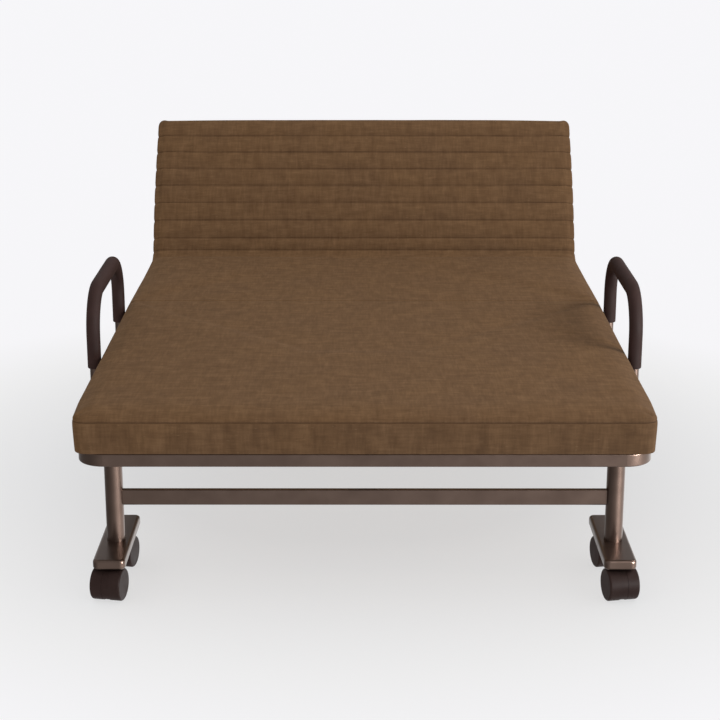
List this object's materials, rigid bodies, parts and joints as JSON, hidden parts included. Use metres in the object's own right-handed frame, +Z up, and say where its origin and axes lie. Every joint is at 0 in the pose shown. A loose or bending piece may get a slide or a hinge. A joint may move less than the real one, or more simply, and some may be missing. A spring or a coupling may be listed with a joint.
{
  "type": "folding cot",
  "caption": "Folding bed on castors: two hinged halves that fold up at the middle, a reclining head section, side push handles, slatted base and a brown fabric mattress.",
  "frame": {"origin": "on the floor under the middle of the object's box at rest, with the head section raised", "axes": "+X to the right of someone facing the head end from the foot end, +Y from the foot end to the head end, +Z up"},
  "size_m": [1.284, 1.868, 0.7748],
  "materials": {
    "bronze_paint": "satin metallic bronze-brown powder coat",
    "mattress_fabric": "woven brown linen-look upholstery",
    "handle_foam": "matte dark brown foam",
    "castor_plastic": "satin dark brown moulding",
    "foot_rubber": "matte black",
    "slat_wood": "clear-coated pale hardwood",
    "slat_holder_plastic": "matte black moulding",
    "zinc_steel": "zinc plated"
  },
  "bodies": {
    "foot_legs": {"foot_leg_tubes": "bronze_paint", "foot_base_bars": "bronze_paint", "foot_leg_crossbar": "bronze_paint"},
    "foot_half": {"foot_frame_tube": "bronze_paint", "foot_cross_members": "bronze_paint", "foot_slats": "slat_wood", "foot_slat_holders": "slat_holder_plastic", "foot_leg_brackets": "bronze_paint", "foot_pivot_bolts": "zinc_steel", "fold_hinge_clevises": "bronze_paint", "fold_hinge_pins": "zinc_steel", "handle_tube_left": "bronze_paint", "handle_tube_right": "bronze_paint", "handle_grip_left": "handle_foam", "handle_grip_right": "handle_foam", "handle_brackets": "bronze_paint", "handle_bolts": "zinc_steel", "mattress_foot": "mattress_fabric"},
    "centre_leg": {"centre_leg_tubes": "bronze_paint", "centre_leg_feet": "foot_rubber"},
    "head_half": {"head_side_rails": "bronze_paint", "head_cross_members": "bronze_paint", "mid_slats": "slat_wood", "mid_slat_holders": "slat_holder_plastic", "leg_carrier_tubes": "bronze_paint", "head_leg_brackets": "bronze_paint", "centre_leg_brackets": "bronze_paint", "head_pivot_bolts": "zinc_steel", "fold_hinge_tongues": "bronze_paint", "recline_fixed_plates": "zinc_steel", "recline_pins": "zinc_steel", "mattress_mid": "mattress_fabric"},
    "backrest": {"backrest_frame_tube": "bronze_paint", "backrest_cross_members": "bronze_paint", "backrest_slats": "slat_wood", "backrest_slat_holders": "slat_holder_plastic", "recline_moving_plates": "zinc_steel", "recline_pawls": "zinc_steel", "mattress_head": "mattress_fabric"},
    "head_legs": {"head_leg_tubes": "bronze_paint", "head_base_bars": "bronze_paint", "head_leg_crossbar": "bronze_paint"},
    "castor_foot_left_front": {"castor_body_foot_left_front": "castor_plastic"},
    "wheels_foot_left_front": {"castor_wheels_foot_left_front": "castor_plastic"},
    "castor_foot_left_rear": {"castor_body_foot_left_rear": "castor_plastic"},
    "wheels_foot_left_rear": {"castor_wheels_foot_left_rear": "castor_plastic"},
    "castor_foot_right_front": {"castor_body_foot_right_front": "castor_plastic"},
    "wheels_foot_right_front": {"castor_wheels_foot_right_front": "castor_plastic"},
    "castor_foot_right_rear": {"castor_body_foot_right_rear": "castor_plastic"},
    "wheels_foot_right_rear": {"castor_wheels_foot_right_rear": "castor_plastic"},
    "castor_head_left_front": {"castor_body_head_left_front": "castor_plastic"},
    "wheels_head_left_front": {"castor_wheels_head_left_front": "castor_plastic"},
    "castor_head_left_rear": {"castor_body_head_left_rear": "castor_plastic"},
    "wheels_head_left_rear": {"castor_wheels_head_left_rear": "castor_plastic"},
    "castor_head_right_front": {"castor_body_head_right_front": "castor_plastic"},
    "wheels_head_right_front": {"castor_wheels_head_right_front": "castor_plastic"},
    "castor_head_right_rear": {"castor_body_head_right_rear": "castor_plastic"},
    "wheels_head_right_rear": {"castor_wheels_head_right_rear": "castor_plastic"}
  },
  "joints": [
    {"name": "fold", "type": "hinge", "parent": "foot_legs", "child": "foot_half", "pos_m": [0, -0.781, 0.305], "axis": [1, 0, 0], "range_deg": [0, 77]},
    {"name": "centre_hinge", "type": "hinge", "parent": "foot_half", "child": "head_half", "pos_m": [0, 0.016, 0.305], "axis": [1, 0, 0], "range_deg": [-154, 0]},
    {"name": "head_leg_pivot", "type": "hinge", "parent": "head_half", "child": "head_legs", "pos_m": [0, 0.813, 0.305], "axis": [1, 0, 0], "range_deg": [0, 77]},
    {"name": "centre_leg_pivot", "type": "hinge", "parent": "head_half", "child": "centre_leg", "pos_m": [0, 0.091, 0.305], "axis": [1, 0, 0], "range_deg": [0, 90.1]},
    {"name": "recline", "type": "hinge", "parent": "head_half", "child": "backrest", "pos_m": [0, 0.5545, 0.378], "axis": [1, 0, 0], "range_deg": [-52, 13]},
    {"name": "swivel_foot_left_front", "type": "hinge", "parent": "foot_legs", "child": "castor_foot_left_front", "pos_m": [-0.541, -0.858, 0.06], "axis": [0, 0, 1], "continuous": true},
    {"name": "roll_foot_left_front", "type": "hinge", "parent": "castor_foot_left_front", "child": "wheels_foot_left_front", "pos_m": [-0.54482, -0.87763, 0.035], "axis": [0.9816, -0.1908, 0], "continuous": true},
    {"name": "swivel_foot_left_rear", "type": "hinge", "parent": "foot_legs", "child": "castor_foot_left_rear", "pos_m": [-0.541, -0.676, 0.06], "axis": [0, 0, 1], "continuous": true},
    {"name": "roll_foot_left_rear", "type": "hinge", "parent": "castor_foot_left_rear", "child": "wheels_foot_left_rear", "pos_m": [-0.54482, -0.69563, 0.035], "axis": [0.9816, -0.1908, 0], "continuous": true},
    {"name": "swivel_foot_right_front", "type": "hinge", "parent": "foot_legs", "child": "castor_foot_right_front", "pos_m": [0.541, -0.858, 0.06], "axis": [0, 0, 1], "continuous": true},
    {"name": "roll_foot_right_front", "type": "hinge", "parent": "castor_foot_right_front", "child": "wheels_foot_right_front", "pos_m": [0.54482, -0.87763, 0.035], "axis": [0.9816, 0.1908, 0], "continuous": true},
    {"name": "swivel_foot_right_rear", "type": "hinge", "parent": "foot_legs", "child": "castor_foot_right_rear", "pos_m": [0.541, -0.676, 0.06], "axis": [0, 0, 1], "continuous": true},
    {"name": "roll_foot_right_rear", "type": "hinge", "parent": "castor_foot_right_rear", "child": "wheels_foot_right_rear", "pos_m": [0.54482, -0.69563, 0.035], "axis": [0.9816, 0.1908, 0], "continuous": true},
    {"name": "swivel_head_left_front", "type": "hinge", "parent": "head_legs", "child": "castor_head_left_front", "pos_m": [-0.541, 0.708, 0.06], "axis": [0, 0, 1], "continuous": true},
    {"name": "roll_head_left_front", "type": "hinge", "parent": "castor_head_left_front", "child": "wheels_head_left_front", "pos_m": [-0.54482, 0.68837, 0.035], "axis": [0.9816, -0.1908, 0], "continuous": true},
    {"name": "swivel_head_left_rear", "type": "hinge", "parent": "head_legs", "child": "castor_head_left_rear", "pos_m": [-0.541, 0.89, 0.06], "axis": [0, 0, 1], "continuous": true},
    {"name": "roll_head_left_rear", "type": "hinge", "parent": "castor_head_left_rear", "child": "wheels_head_left_rear", "pos_m": [-0.54482, 0.87037, 0.035], "axis": [0.9816, -0.1908, 0], "continuous": true},
    {"name": "swivel_head_right_front", "type": "hinge", "parent": "head_legs", "child": "castor_head_right_front", "pos_m": [0.541, 0.708, 0.06], "axis": [0, 0, 1], "continuous": true},
    {"name": "roll_head_right_front", "type": "hinge", "parent": "castor_head_right_front", "child": "wheels_head_right_front", "pos_m": [0.54482, 0.68837, 0.035], "axis": [0.9816, 0.1908, 0], "continuous": true},
    {"name": "swivel_head_right_rear", "type": "hinge", "parent": "head_legs", "child": "castor_head_right_rear", "pos_m": [0.541, 0.89, 0.06], "axis": [0, 0, 1], "continuous": true},
    {"name": "roll_head_right_rear", "type": "hinge", "parent": "castor_head_right_rear", "child": "wheels_head_right_rear", "pos_m": [0.54482, 0.87037, 0.035], "axis": [0.9816, 0.1908, 0], "continuous": true}
  ],
  "couplings": [
    {"joint": "centre_hinge", "follows": "fold", "ratio": -2},
    {"joint": "head_leg_pivot", "follows": "fold", "ratio": 1},
    {"joint": "centre_leg_pivot", "follows": "fold", "ratio": 1.17}
  ]
}
